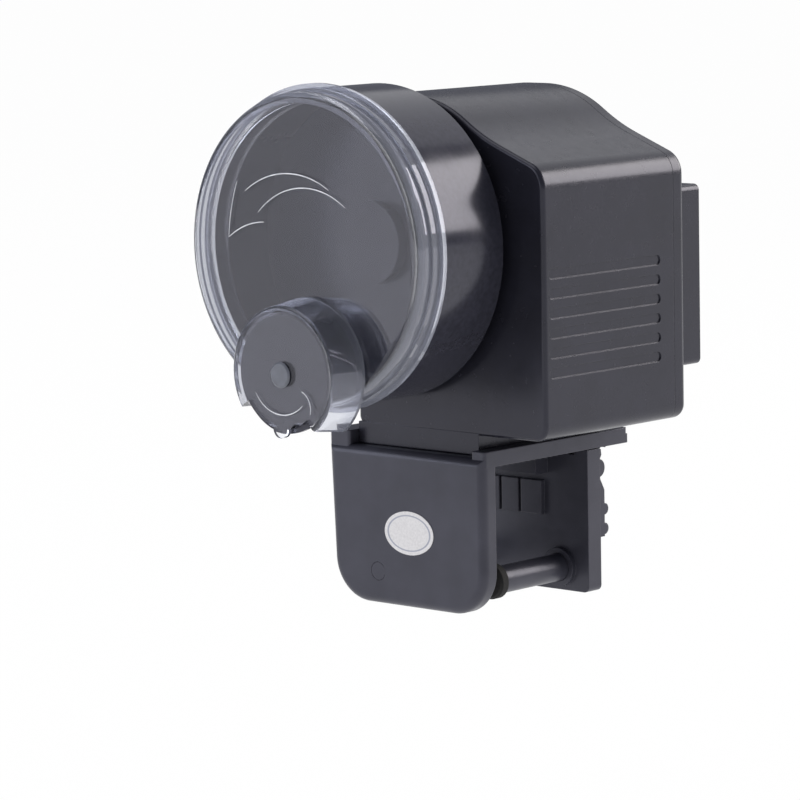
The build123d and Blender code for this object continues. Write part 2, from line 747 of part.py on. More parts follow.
with BuildPart() as output_gear:
    with BuildSketch(across(output_layer[0])):
        add(gear_outline(output_teeth, idler_direction))
    extrude(amount=-(output_layer[1] - output_layer[0]))
    with BuildSketch(across(output_layer[0] + 1.2)):
        with PolarLocations(11.2, 6):
            Circle(2.6)
    extrude(amount=-6.0, mode=Mode.SUBTRACT)
    with BuildSketch(across(0)):
        Circle(gear_seat_r + 0.02)
    extrude(amount=-12.0, mode=Mode.SUBTRACT)
save(output_gear.part, "output_gear")

with BuildPart() as shaft_clip:
    with BuildSketch(across(8.65)):
        Circle(4.6)
        Circle(journal_r + 0.02, mode=Mode.SUBTRACT)
        with Locations((4.0, 0)):
            Rectangle(4.0, 2.6, mode=Mode.SUBTRACT)
    extrude(amount=-0.5)
save(shaft_clip.part, "shaft_clip")

idler_place = (drum_x + idler_centre[0], drum_z + idler_centre[1])
with BuildPart() as idler_gear:
    with BuildSketch(across_at(*idler_place, 3.8)):
        add(gear_outline(small_teeth, idler_direction + 180 + 180 / small_teeth))
    extrude(amount=-(input_layer[0] - 3.8))
    with BuildSketch(across_at(*idler_place, input_layer[0])):
        add(gear_outline(large_teeth, pinion_direction))
    extrude(amount=-(input_layer[1] - input_layer[0]))
    with BuildSketch(across(0)):
        with Locations(idler_centre):
            Circle(pin_r + running)
    extrude(amount=-20.0, mode=Mode.SUBTRACT)
save(idler_gear.part, "idler_gear")

with BuildPart() as idler_pin:
    with BuildSketch(across(case_front + 1.3)):
        with Locations(idler_centre):
            Circle(pin_r)
    extrude(amount=-(plate_back - case_front - 1.3))
    chamfer(edges().filter_by(GeomType.CIRCLE), length=0.15)
save(idler_pin.part, "idler_pin")

pinion_place = (drum_x + pinion_centre[0], drum_z + pinion_centre[1])
with BuildPart() as motor_pinion:
    with BuildSketch(across_at(*pinion_place, 8.9)):
        add(gear_outline(small_teeth, pinion_direction + 180 + 180 / small_teeth))
        Circle(1.02, mode=Mode.SUBTRACT)
    extrude(amount=-3.7)
save(motor_pinion.part, "motor_pinion")

with BuildPart() as motor_shaft:
    with BuildSketch(across(8.7)):
        with Locations(pinion_centre):
            Circle(1.0)
    extrude(amount=-8.3)
save(motor_shaft.part, "motor_shaft")

motor_screw_spots = [(pinion_centre[0] - 6.5, pinion_centre[1]), (pinion_centre[0] + 6.5, pinion_centre[1])]
with BuildPart() as gear_motor:
    with BuildSketch(across(plate_back + 0.05)):
        with Locations(pinion_centre):
            Circle(10.0)
    extrude(amount=-9.0)
    with BuildSketch(across(plate_back + 9.05)):
        with Locations(pinion_centre):
            Circle(8.2)
    extrude(amount=-15.0)
    with BuildSketch(across(plate_front + 0.3)):
        with Locations(pinion_centre):
            Circle(2.9)
    extrude(amount=-2.0)
    with BuildSketch(across(plate_front)):
        with Locations(pinion_centre):
            Circle(1.0 + running)
    extrude(amount=-(17.3 - plate_front), mode=Mode.SUBTRACT)
    with BuildSketch(across(plate_back)):
        with Locations(*motor_screw_spots):
            Circle(0.95)
    extrude(amount=-4.0, mode=Mode.SUBTRACT)
save(gear_motor.part, "gear_motor")

with BuildPart() as gear_plate:
    with BuildSketch(across(plate_front)):
        with BuildLine():
            Polyline((-5.2, -35.3), (28.5, -35.3), (38.5, -25.5), (38.5, -10.0), (26.0, 20.8),
                     (-7.0, 26.0), (-7.0, -26.0), close=True)
        make_face()
        fillet(vertices(), radius=1.8)
        Circle(journal_r + running, mode=Mode.SUBTRACT)
        with Locations(idler_centre):
            Circle(pin_r, mode=Mode.SUBTRACT)
        with Locations(pinion_centre):
            Circle(3.0, mode=Mode.SUBTRACT)
        with Locations(*motor_screw_spots, *plate_posts):
            Circle(1.2, mode=Mode.SUBTRACT)
    extrude(amount=-(plate_back - plate_front))
save(gear_plate.part, "gear_plate")

with BuildPart() as motor_screws:
    with BuildSketch(across(plate_front - 1.05)):
        with Locations(*motor_screw_spots):
            Circle(1.9)
    extrude(amount=-1.0)
    with BuildSketch(across(plate_front - 0.5)):
        with Locations(*motor_screw_spots):
            Circle(0.9)
    extrude(amount=-5.5)
save(motor_screws.part, "motor_screws")

with BuildPart() as plate_screws:
    with BuildSketch(across(plate_back + 0.05)):
        with Locations(*plate_posts):
            Circle(2.0)
    extrude(amount=-1.4)
    with BuildSketch(across(plate_back + 0.5)):
        with Locations(*plate_posts):
            Circle(0.85)
    extrude(amount=8.5)
save(plate_screws.part, "plate_screws")

# ================================================================ food drum, lid and outlet dial
with BuildPart() as drum_shell:
    with BuildSketch(through(drum_x, drum_z)):
        inner = drum_r - drum_wall
        with BuildLine():
            Polyline((0, hub_front), (hub_r, hub_front), (hub_r, drum_floor), (inner, drum_floor),
                     (inner, drum_front), (drum_r, drum_front), (drum_r, drum_back - 1.2),
                     (drum_r - 1.2, drum_back), (33.5, drum_back), (33.5, drum_floor + wall),
                     (9.0, drum_floor + wall), (9.0, drum_back), (0, drum_back), close=True)
        make_face()
    revolve(axis=drum_axis)
    with BuildSketch(across(drum_back - socket_depth)):
        Circle(socket_r)
        with Locations((5.3, 0)):
            Rectangle(4.0, 10.0, mode=Mode.SUBTRACT)
    extrude(amount=-(socket_depth + 1.0), mode=Mode.SUBTRACT)
save(drum_shell.part, "drum_shell")

with BuildPart() as drum_lid:
    with BuildSketch(through(drum_x, drum_z)):
        with BuildLine():
            Polyline((0, lid_front), (lid_r, lid_front), (lid_r, -27.9), (37.2, -27.9), (37.2, -25.5),
                     (lid_flange_r, -25.5), (lid_flange_r, -24.25), (35.35, -24.25), (35.35, -20.4),
                     (34.0, -20.4), (34.0, -25.8), (34.9, -26.6), (34.9, lid_front + lid_thickness),
                     (0, lid_front + lid_thickness), close=True)
        make_face()
        outer_rim = vertices().filter_by(lambda v: abs(v.Y - lid_front) < 0.01).sort_by(Axis.X)[-1]
        fillet(outer_rim, radius=2.6)
    revolve(axis=drum_axis)
    # food port under the dial's pivot, and the pivot's hole
    with BuildSketch(across(lid_front - 1.0)):
        with BuildLine():
            Line((dial_x - 9.5, dial_z - 4.0), (dial_x + 9.5, dial_z - 4.0))
            ThreePointArc((dial_x + 9.5, dial_z - 4.0), (dial_x, -33.8), (dial_x - 9.5, dial_z - 4.0))
        make_face()
        with Locations((dial_x, dial_z)):
            Circle(pivot_r)
    extrude(amount=-4.0, mode=Mode.SUBTRACT)
save(drum_lid.part, "drum_lid")

dial_place = (drum_x + dial_x, drum_z + dial_z)
dial_axis = Axis((dial_place[0], 0, dial_place[1]), (0, 1, 0))


def across_dial(y):
    """Plane across the depth at y, centred on the dial's axis."""
    return across_at(*dial_place, y)


def sector(radius, start, end):
    """Face bounded by two radii and an arc, between two angles in degrees."""
    with BuildSketch() as outline:
        with BuildLine():
            Line((0, 0), polar(radius, start))
            ThreePointArc(polar(radius, start), polar(radius, (start + end) / 2), polar(radius, end))
            Line(polar(radius, end), (0, 0))
        make_face()
    return outline.sketch


with BuildPart() as outlet_cap:
    with BuildSketch(through(*dial_place)):
        with BuildLine():
            Polyline((0, dial_front), (dial_front_r, dial_front), (dial_back_r, dial_back),
                     (dial_back_r - dial_wall, dial_back),
                     (dial_front_r - dial_wall, dial_front + dial_wall), (0, dial_front + dial_wall),
                     close=True)
        make_face()
        front_rim = vertices().filter_by(lambda v: abs(v.Y - dial_front) < 0.01).sort_by(Axis.X)[-1]
        fillet(front_rim, radius=1.1)
    revolve(axis=dial_axis)
    # the mouth: the side wall is left out over a sector, and the face ends in a tongue between two notches
    with BuildSketch(across_dial(dial_front - 1.0)):
        add(sector(24.0, mouth_from, mouth_to))
        Circle(mouth_face_r, mode=Mode.SUBTRACT)
        with Locations((-0.6, -mouth_face_r)):
            Circle(2.2, mode=Mode.SUBTRACT)
    extrude(amount=-(dial_wall + 1.0), mode=Mode.SUBTRACT)
    with BuildSketch(across_dial(dial_front + dial_wall)):
        add(sector(24.0, mouth_from, mouth_to))
        Circle(mouth_face_r, mode=Mode.SUBTRACT)
    extrude(amount=-12.0, mode=Mode.SUBTRACT)
    with BuildSketch(across_dial(dial_front - 1.0)):
        with Locations((4.6, -mouth_face_r - 0.4)):
            Circle(1.9)
        Circle(pivot_r + running)
    extrude(amount=-4.0, mode=Mode.SUBTRACT)
save(outlet_cap.part, "outlet_cap")

gate_depth = lid_front - 0.05 - gate_front
with BuildPart() as outlet_gate:
    with BuildSketch(across_dial(gate_front)):
        Circle(gate_r)
    extrude(amount=-gate_thickness)
    with BuildSketch(across_dial(gate_front)):
        add(sector(gate_r, -20.0, 60.0))
        Circle(gate_r - 1.1, mode=Mode.SUBTRACT)
    extrude(amount=-gate_depth)
    with BuildSketch(across_dial(gate_front)):
        Circle(3.2)
    extrude(amount=-gate_depth)
    with BuildSketch(across_dial(gate_front - 0.5)):
        Circle(pivot_r)
    extrude(amount=-12.0, mode=Mode.SUBTRACT)
save(outlet_gate.part, "outlet_gate")

with BuildPart() as dial_pivot:
    with BuildSketch(through(*dial_place)):
        with BuildLine():
            Polyline((0, -42.6), (2.6, -42.6), (3.0, -42.3), (3.0, -42.1), (pivot_r - 0.02, -42.1),
                     (pivot_r - 0.02, -30.2), (2.6, -30.2), (1.9, -29.0), (0, -29.0), close=True)
        make_face()
    revolve(axis=dial_axis)
save(dial_pivot.part, "dial_pivot")
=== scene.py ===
from math import cos, pi, radians, sin

import bpy
import numpy as np
from mathutils import Matrix, Vector


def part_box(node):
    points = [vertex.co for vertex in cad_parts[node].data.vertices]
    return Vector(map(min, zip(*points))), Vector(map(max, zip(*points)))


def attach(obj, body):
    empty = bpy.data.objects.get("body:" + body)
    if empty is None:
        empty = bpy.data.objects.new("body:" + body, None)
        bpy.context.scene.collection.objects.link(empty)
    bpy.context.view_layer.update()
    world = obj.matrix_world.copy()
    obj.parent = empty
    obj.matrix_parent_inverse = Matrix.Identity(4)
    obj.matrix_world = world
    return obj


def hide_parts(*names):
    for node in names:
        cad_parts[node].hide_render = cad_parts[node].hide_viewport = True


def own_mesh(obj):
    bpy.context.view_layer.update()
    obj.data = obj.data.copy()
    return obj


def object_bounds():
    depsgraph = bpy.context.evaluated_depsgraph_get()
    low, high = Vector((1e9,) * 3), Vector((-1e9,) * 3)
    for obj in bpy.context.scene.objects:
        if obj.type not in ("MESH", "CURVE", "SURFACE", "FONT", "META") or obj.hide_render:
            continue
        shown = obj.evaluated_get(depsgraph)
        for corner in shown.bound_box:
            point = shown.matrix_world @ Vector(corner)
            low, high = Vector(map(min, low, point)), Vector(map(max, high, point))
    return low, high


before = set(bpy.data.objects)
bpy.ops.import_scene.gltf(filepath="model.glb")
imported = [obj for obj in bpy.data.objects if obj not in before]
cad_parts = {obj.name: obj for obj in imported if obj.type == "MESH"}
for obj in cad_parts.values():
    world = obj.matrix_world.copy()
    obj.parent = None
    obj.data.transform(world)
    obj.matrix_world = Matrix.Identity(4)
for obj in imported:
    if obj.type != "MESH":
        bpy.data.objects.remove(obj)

# Looks of the automatic fish feeder, in metres, in the CAD model's own frame.
MM = 0.001
LID_RIM_INSET = 0.9 * MM  # the rolled rims end this far inside the drum's and the dial's outlines
DIAL_RIM_INSET = 1.4 * MM
RIM_GLOW_START = 0.965  # share of a rim's radius at which its painted highlight, whitish and less clear, begins
SUNK = 0.01 * MM  # raised marks start this far under their face, so that no gap shows
MARK_WIDTH, MARK_HEIGHT = 0.3 * MM, 0.12 * MM  # raised lines of the two arrows
cad_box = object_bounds()

# The faces and axes that the small pieces are placed on come from the frame.
drum_low, drum_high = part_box("drum_shell")
drum_x = (drum_low.x + drum_high.x) / 2
drum_z = (drum_low.z + drum_high.z) / 2
lid_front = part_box("drum_lid")[0].y
dial_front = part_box("outlet_cap")[0].y
lid_rim = (drum_high.x - drum_low.x) / 2 - LID_RIM_INSET
gate_low, gate_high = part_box("outlet_gate")
dial_x = (gate_low.x + gate_high.x) / 2
dial_z = (gate_low.z + gate_high.z) / 2
dial_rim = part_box("outlet_cap")[1].z - dial_z - DIAL_RIM_INSET
plate_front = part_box("bracket_frame")[0].y
panel_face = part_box("control_panel")[1].y
window_low, window_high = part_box("lcd_window")
screen_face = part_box("lcd_module")[1].y


# ---------------------------------------------------------------- materials
def linear(hex_colour):
    """sRGB hex colour to linear RGBA."""
    parts = [int(hex_colour[i:i + 2], 16) / 255 for i in (1, 3, 5)]
    straight = [c / 12.92 if c <= 0.04045 else ((c + 0.055) / 1.055) ** 2.4 for c in parts]
    return tuple(straight) + (1.0,)


def node(tree, kind, links=None, **settings):
    """Adds a node: settings are its properties or inputs, links are input name to output socket."""
    made = tree.nodes.new(kind)
    for name, value in settings.items():
        if hasattr(made, name):
            setattr(made, name, value)
        else:
            made.inputs[name.replace("_", " ")].default_value = value
    for name, socket in (links or {}).items():
        tree.links.new(socket, made.inputs[name])
    return made


def start_material(name, **shader_values):
    """New material with a Principled shader; the values go on the shader's own sockets."""
    material = bpy.data.materials.new(name)
    material.use_nodes = True
    tree = material.node_tree
    shader = tree.nodes["Principled BSDF"]
    for socket, value in shader_values.items():
        shader.inputs[socket.replace("_", " ")].default_value = value
    place = node(tree, "ShaderNodeTexCoord")
    return material, tree, shader, place.outputs["Object"]


def grain(tree, place, size_mm, detail=2.0):
    """Noise whose lumps are about size_mm across."""
    noise = node(tree, "ShaderNodeTexNoise", {"Vector": place},
                 Scale=1 / (size_mm * MM), Detail=detail)
    return noise.outputs["Fac"]


def radius_about(tree, place, x, z, reach_x=1.0, reach_z=1.0):
    """Distance from an axis parallel to y, in units of the two reaches."""
    centred = node(tree, "ShaderNodeMapping", {"Vector": place},
                   Location=(-x / reach_x, 0.0, -z / reach_z),
                   Scale=(1 / reach_x, 0.0, 1 / reach_z))
    length = node(tree, "ShaderNodeVectorMath", {0: centred.outputs[0]}, operation="LENGTH")
    return length.outputs["Value"]


def ramp(tree, factor, low, high, start=0.3, end=0.7):
    """Two colours or greys that a factor runs between."""
    made = node(tree, "ShaderNodeValToRGB", {"Fac": factor})
    made.color_ramp.elements[0].position = start
    made.color_ramp.elements[1].position = end
    made.color_ramp.elements[0].color = low if len(np.shape(low)) else (low, low, low, 1)
    made.color_ramp.elements[1].color = high if len(np.shape(high)) else (high, high, high, 1)
    return made.outputs["Color"]


def raise_surface(tree, shader, height, depth_mm, edge_mm=0.0):
    """Bump of depth_mm from a height, over edges that look rounded by edge_mm."""
    links = {"Height": height}
    if edge_mm:
        rounded = node(tree, "ShaderNodeBevel", samples=4, Radius=edge_mm * MM)
        links["Normal"] = rounded.outputs["Normal"]
    bump = node(tree, "ShaderNodeBump", links, Strength=1.0, Distance=depth_mm * MM)
    tree.links.new(bump.outputs["Normal"], shader.inputs["Normal"])


# black plastics and clear styrene take a slightly blue highlight
cool = linear("#eaeafa")


def gloss_moulded_abs():
    """ABS from a polished mould: near black, mirror-like, hazed unevenly by handling and dust."""
    material, tree, shader, place = start_material(
        "gloss_moulded_abs", IOR=1.53, Specular_Tint=cool)
    dust = grain(tree, place, 1.4, 6.0)
    tree.links.new(ramp(tree, dust, linear("#2e2e36"), linear("#383842")),
                   shader.inputs["Base Color"])
    tree.links.new(ramp(tree, grain(tree, place, 9.0), 0.14, 0.19), shader.inputs["Roughness"])
    return material


def satin_moulded_abs():
    """ABS from a fine-sparked mould: dark blue-grey, soft sheen, barely seen grain of 0.3 mm."""
    material, tree, shader, place = start_material(
        "satin_moulded_abs", IOR=1.53, Specular_Tint=cool)
    haze = grain(tree, place, 11.0, 4.0)
    tree.links.new(ramp(tree, haze, linear("#202027"), linear("#272730")),
                   shader.inputs["Base Color"])
    tree.links.new(ramp(tree, grain(tree, place, 2.5, 5.0), 0.22, 0.28), shader.inputs["Roughness"])
    raise_surface(tree, shader, grain(tree, place, 0.3, 1.0), 0.006, edge_mm=0.3)
    return material


def bracket_moulded_abs():
    """The same ABS from a coarser mould: a little lighter and duller, hazy on its flat walls."""
    material, tree, shader, place = start_material(
        "bracket_moulded_abs", IOR=1.53, Specular_Tint=cool)
    haze = grain(tree, place, 8.0, 5.0)
    tree.links.new(ramp(tree, haze, linear("#36363e"), linear("#3f3f48")),
                   shader.inputs["Base Color"])
    tree.links.new(ramp(tree, grain(tree, place, 3.0, 4.0), 0.3, 0.38), shader.inputs["Roughness"])
    raise_surface(tree, shader, grain(tree, place, 0.35, 1.0), 0.008, edge_mm=0.35)
    return material


def clear_styrene(name, x, z, rim_radius, rim_clear):
    """Clear polystyrene moulding: clean face, with a painted highlight in its rolled rim, which
    turns whitish and less clear where light gathers there.
    """
    material, tree, shader, place = start_material(name, IOR=1.59, Specular_Tint=cool)
    radius = radius_about(tree, place, x, z, rim_radius, rim_radius)
    # painted highlight: towards the rim, clarity falls to rim_clear and the colour turns whitish
    # grey, for light gathered in the rolled rim
    tree.links.new(ramp(tree, radius, 1.0, rim_clear, RIM_GLOW_START, 1.0),
                   shader.inputs["Transmission Weight"])
    tint = ramp(tree, radius, linear("#f6f7fb"), linear("#d3d6e2"), RIM_GLOW_START, 1.0)
    tree.links.new(tint, shader.inputs["Base Color"])
    tree.links.new(ramp(tree, grain(tree, place, 6.0), 0.02, 0.06), shader.inputs["Roughness"])
    return material


def clear_acrylic():
    """Clear acrylic screen window: hard and bright, with hairline wiping marks in its gloss."""
    material, tree, shader, place = start_material(
        "clear_acrylic", IOR=1.49, Transmission_Weight=1.0, Base_Color=linear("#f6f8fa"))
    tree.links.new(ramp(tree, grain(tree, place, 3.0, 5.0), 0.02, 0.06), shader.inputs["Roughness"])
    return material


def cut_styrene():
    """Raised mark in clear polystyrene, whitish and mostly not clear: a painted highlight for the
    light its steep flanks catch, so it shows as a white line.
    """
    material, tree, shader, place = start_material(
        "cut_styrene", IOR=1.59, Transmission_Weight=0.25)
    # the same noise sets how bright this painted highlight is and, as wear, the roughness
    wear = grain(tree, place, 1.5, 3.0)
    tree.links.new(ramp(tree, wear, linear("#b9bcc6"), linear("#f3f4f8")),
                   shader.inputs["Base Color"])
    tree.links.new(ramp(tree, wear, 0.4, 0.22), shader.inputs["Roughness"])
    return material


def smoked_styrene():
    """Smoked polystyrene of the dial's pivot: grey, dulled where fingers rub its head."""
    material, tree, shader, place = start_material("smoked_styrene", IOR=1.59)
    tint = grain(tree, place, 2.0, 3.0)
    tree.links.new(ramp(tree, tint, linear("#60636c"), linear("#6b6e78")),
                   shader.inputs["Base Color"])
    tree.links.new(ramp(tree, tint, 0.3, 0.38), shader.inputs["Roughness"])
    return material


def milky_acetal():
    """Acetal gears and bushes: milky white, waxy, with light scattered just under the skin."""
    material, tree, shader, place = start_material(
        "milky_acetal", IOR=1.48, Subsurface_Weight=0.2, Subsurface_Scale=0.6 * MM)
    flow = grain(tree, place, 5.0, 3.0)
    tree.links.new(ramp(tree, flow, linear("#d9d6ca"), linear("#e9e7dd")),
                   shader.inputs["Base Color"])
    tree.links.new(ramp(tree, flow, 0.3, 0.38), shader.inputs["Roughness"])
    raise_surface(tree, shader, grain(tree, place, 0.6), 0.006, edge_mm=0.12)
    return material


def nitrile_rubber():
    """Nitrile rubber tips: matt charcoal, dusted lighter, with a moulded grain of 0.4 mm."""
    material, tree, shader, place = start_material(
        "nitrile_rubber", IOR=1.52, Specular_IOR_Level=0.35)
    dust = grain(tree, place, 1.2, 6.0)
    tree.links.new(ramp(tree, dust, linear("#1b1b1c"), linear("#2c2b2a")),
                   shader.inputs["Base Color"])
    tree.links.new(ramp(tree, dust, 0.75, 0.88), shader.inputs["Roughness"])
    raise_surface(tree, shader, grain(tree, place, 0.4), 0.03, edge_mm=0.2)
    return material


def button_abs():
    """Grey ABS button caps, polished unevenly by fingers."""
    material, tree, shader, place = start_material("button_abs", IOR=1.53)
    wear = grain(tree, place, 2.0, 4.0)
    tree.links.new(ramp(tree, wear, linear("#5c5f66"), linear("#6b6e75")),
                   shader.inputs["Base Color"])
    tree.links.new(ramp(tree, wear, 0.28, 0.46), shader.inputs["Roughness"])
    raise_surface(tree, shader, grain(tree, place, 0.3, 1.0), 0.006, edge_mm=0.2)
    return material


def printed_ink():
    """Screen-printed light grey ink: slightly raised, matt, with pinholes."""
    material, tree, shader, place = start_material("printed_ink", IOR=1.5)
    holes = grain(tree, place, 0.25, 4.0)
    tint = ramp(tree, holes, linear("#a6a8ab"), linear("#c9cbcd"), 0.2, 0.5)
    tree.links.new(tint, shader.inputs["Base Color"])
    tree.links.new(ramp(tree, holes, 0.5, 0.62), shader.inputs["Roughness"])
    return material


def coated_paper(centre):
    """White coated paper: faint fibres of 0.5 mm and one pale oval line printed inside its edge."""
    material, tree, shader, place = start_material("coated_paper", IOR=1.45)
    fibre = ramp(tree, grain(tree, place, 0.5, 6.0), linear("#e6e3e2"), linear("#f5f2f1"))
    line_reach_x, line_reach_z = 6.6 * MM, 4.2 * MM
    reach_out = radius_about(tree, place, centre.x, centre.z, line_reach_x, line_reach_z)
    off = node(tree, "ShaderNodeMath", {0: reach_out}, operation="SUBTRACT")
    off.inputs[1].default_value = 1.0
    off = node(tree, "ShaderNodeMath", {0: off.outputs[0]}, operation="ABSOLUTE")
    line = ramp(tree, off.outputs[0], 1.0, 0.0, 0.02, 0.05)
    mixed = node(tree, "ShaderNodeMix", data_type="RGBA")
    tree.links.new(line, mixed.inputs[0])
    tree.links.new(fibre, mixed.inputs[6])
    mixed.inputs[7].default_value = linear("#aeb0bd")
    tree.links.new(mixed.outputs[2], shader.inputs["Base Color"])
    tree.links.new(ramp(tree, grain(tree, place, 0.8), 0.42, 0.55), shader.inputs["Roughness"])
    raise_surface(tree, shader, grain(tree, place, 0.5, 6.0), 0.01)
    return material


def drawn_steel():
    """Zinc-plated steel pins, screws and cans: grey, with scratches 0.25 mm wide along y."""
    material, tree, shader, place = start_material("drawn_steel", Metallic=1.0)
    scratch = node(tree, "ShaderNodeMapping", {"Vector": place}, Scale=(1.0, 0.12, 1.0)).outputs[0]
    fine = grain(tree, scratch, 0.25, 5.0)
    tree.links.new(ramp(tree, fine, linear("#a9abad"), linear("#cfd0d0")),
                   shader.inputs["Base Color"])
    tree.links.new(ramp(tree, fine, 0.24, 0.4), shader.inputs["Roughness"])
    raise_surface(tree, shader, fine, 0.004)
    return material


def nickel_strip():
    """Nickel-plated spring strip: warm, bright and nearly smooth, with handling marks."""
    material, tree, shader, place = start_material("nickel_strip", Metallic=1.0)
    marks = grain(tree, place, 1.0, 6.0)
    tree.links.new(ramp(tree, marks, linear("#bdb7a8"), linear("#d8d3c6")),
                   shader.inputs["Base Color"])
    tree.links.new(ramp(tree, marks, 0.16, 0.3), shader.inputs["Roughness"])
    return material


def shrink_jacket(middle_z):
    """Shrink-wrapped battery jacket: glossy dark blue, its top third copper-coloured."""
    material, tree, shader, place = start_material("shrink_jacket", IOR=1.5, Coat_Weight=0.4)
    band_above_middle = 9.0 * MM
    height = node(tree, "ShaderNodeSeparateXYZ", {"Vector": place}).outputs["Z"]
    band = node(tree, "ShaderNodeMath", {0: height}, operation="GREATER_THAN")
    band.inputs[1].default_value = middle_z + band_above_middle
    mixed = node(tree, "ShaderNodeMix", {0: band.outputs[0]}, data_type="RGBA")
    film = ramp(tree, grain(tree, place, 3.0), linear("#1b2c57"), linear("#22366a"))
    tree.links.new(film, mixed.inputs[6])
    mixed.inputs[7].default_value = linear("#a8652f")
    tree.links.new(mixed.outputs[2], shader.inputs["Base Color"])
    tree.links.new(ramp(tree, grain(tree, place, 2.0), 0.2, 0.3), shader.inputs["Roughness"])
    return material


def glass_fibre_board():
    """Green solder mask on glass-fibre board: threads about 1 mm apart show under the mask."""
    material, tree, shader, place = start_material("glass_fibre_board", IOR=1.55)
    weave = node(tree, "ShaderNodeTexWave", {"Vector": place}, Scale=1 / (3.0 * MM), Distortion=2.0)
    mask = ramp(tree, weave.outputs["Fac"], linear("#0f5230"), linear("#176a40"))
    tree.links.new(mask, shader.inputs["Base Color"])
    tree.links.new(ramp(tree, grain(tree, place, 1.0), 0.25, 0.36), shader.inputs["Roughness"])
    raise_surface(tree, shader, weave.outputs["Fac"], 0.01)
    return material


def phenolic_black():
    """Black phenolic of the tactile switches: dull, with fine filler specks."""
    material, tree, shader, place = start_material("phenolic_black", IOR=1.6)
    specks = grain(tree, place, 0.3, 5.0)
    tree.links.new(ramp(tree, specks, linear("#121212"), linear("#222222")),
                   shader.inputs["Base Color"])
    tree.links.new(ramp(tree, specks, 0.5, 0.65), shader.inputs["Roughness"])
    return material


def screen_film():
    """Reflective film of a segment screen: pale grey-green with a faint brushed look."""
    material, tree, shader, place = start_material("screen_film", IOR=1.5)
    brushed = node(tree, "ShaderNodeMapping", {"Vector": place}, Scale=(0.1, 1.0, 1.0)).outputs[0]
    lines = grain(tree, brushed, 0.3, 3.0)
    tree.links.new(ramp(tree, lines, linear("#8f998a"), linear("#9da797")),
                   shader.inputs["Base Color"])
    tree.links.new(ramp(tree, lines, 0.3, 0.4), shader.inputs["Roughness"])
    return material


def segment_black():
    """Switched-on screen segments: flat near-black with a bluish cast."""
    material, tree, shader, place = start_material("segment_black", IOR=1.5)
    tone = grain(tree, place, 1.0)
    tree.links.new(ramp(tree, tone, linear("#20242a"), linear("#2a2f36")),
                   shader.inputs["Base Color"])
    tree.links.new(ramp(tree, tone, 0.4, 0.5), shader.inputs["Roughness"])
    return material


sticker_low, sticker_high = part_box("inspection_sticker")
gloss, satin, bracket_black = gloss_moulded_abs(), satin_moulded_abs(), bracket_moulded_abs()
cut, ink = cut_styrene(), printed_ink()
acetal, steel = milky_acetal(), drawn_steel()
finishes = {
    gloss: ["drum_shell", "outlet_gate"],
    satin: ["housing_shell", "rear_cover", "control_panel", "battery_door", "battery_holder",
            "gear_plate"],
    bracket_black: ["bracket_frame", "clamp_jaw", "release_lever", "clamp_screw_left",
                    "clamp_screw_right"],
    clear_styrene("clear_styrene_lid", drum_x, drum_z, lid_rim, 0.7): ["drum_lid"],
    clear_styrene("clear_styrene_dial", dial_x, dial_z, dial_rim, 0.86): ["outlet_cap"],
    clear_acrylic(): ["lcd_window"],
    smoked_styrene(): ["dial_pivot"],
    acetal: ["output_gear", "idler_gear", "motor_pinion", "drive_shaft", "output_bush"],
    nitrile_rubber(): ["clamp_pad_left", "clamp_pad_right"],
    button_abs(): ["button_mode", "button_minus", "button_plus", "button_feed"],
    coated_paper((sticker_low + sticker_high) / 2): ["inspection_sticker"],
    steel: ["lever_pin", "lever_spring", "idler_pin", "motor_shaft", "shaft_clip", "case_screws",
            "board_screws", "motor_screws", "plate_screws", "gear_motor"],
    nickel_strip(): ["battery_contacts"],
    shrink_jacket(drum_z): ["battery_cell_front", "battery_cell_rear"],
    glass_fibre_board(): ["circuit_board"],
    phenolic_black(): ["key_switches"],
    screen_film(): ["lcd_module"],
}
for material, names in finishes.items():
    for name in names:
        for material_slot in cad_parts[name].material_slots:
            material_slot.material = material


# ---------------------------------------------------------------- surfaces
def grid_faces(rows, columns, around=False):
    """Four-sided faces between neighbours in a grid; around joins the last column to the first."""
    index = np.arange(rows * columns).reshape(rows, columns)
    if around:
        index = np.concatenate([index, index[:, :1]], axis=1)
    corners = (index[:-1, :-1], index[1:, :-1], index[1:, 1:], index[:-1, 1:])
    return np.stack(corners, axis=-1).reshape(-1, 4).tolist()


def grid_mesh(name, points, material, body, around=False):
    """Mesh over a grid of points, rows by columns; around joins the last column to the first.

    The two end rows are closed by flat ends when the grid goes round.
    """
    rows, columns = points.shape[:2]
    faces = grid_faces(rows, columns, around)
    if around:
        faces.append(tuple(range(columns)))
        faces.append(tuple(reversed(range((rows - 1) * columns, rows * columns))))
    mesh = bpy.data.meshes.new(name)
    mesh.from_pydata(points.reshape(-1, 3).tolist(), [], faces)
    mesh.validate()
    mesh.materials.append(material)
    piece = bpy.data.objects.new(name, mesh)
    bpy.context.scene.collection.objects.link(piece)
    mesh.shade_smooth()
    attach(piece, body)
    return piece


def bead(name, path, face_y, width, height, material, body):
    """Half-round raised bead on a face that looks towards -y.

    path is an array of (x, z); at each point a half ellipse stands across it, from the face to its
    height, and both dimensions ease to a third at the two ends.
    """
    along = np.gradient(path, axis=0)
    along /= np.linalg.norm(along, axis=1, keepdims=True)
    across = np.stack([-along[:, 1], along[:, 0]], axis=1)
    share = np.linspace(0, 1, len(path))
    ease = 0.33 + 0.67 * np.sin(pi * share) ** 0.4
    turn = np.linspace(0, pi, 9)
    side = (np.cos(turn) * width / 2)[None, :] * ease[:, None]
    rise = (np.sin(turn) * height)[None, :] * ease[:, None]
    points = np.empty((len(path), len(turn), 3))
    points[..., 0] = path[:, None, 0] + across[:, None, 0] * side
    points[..., 2] = path[:, None, 1] + across[:, None, 1] * side
    points[..., 1] = face_y + SUNK - rise
    return grid_mesh(name, points, material, body, around=True)


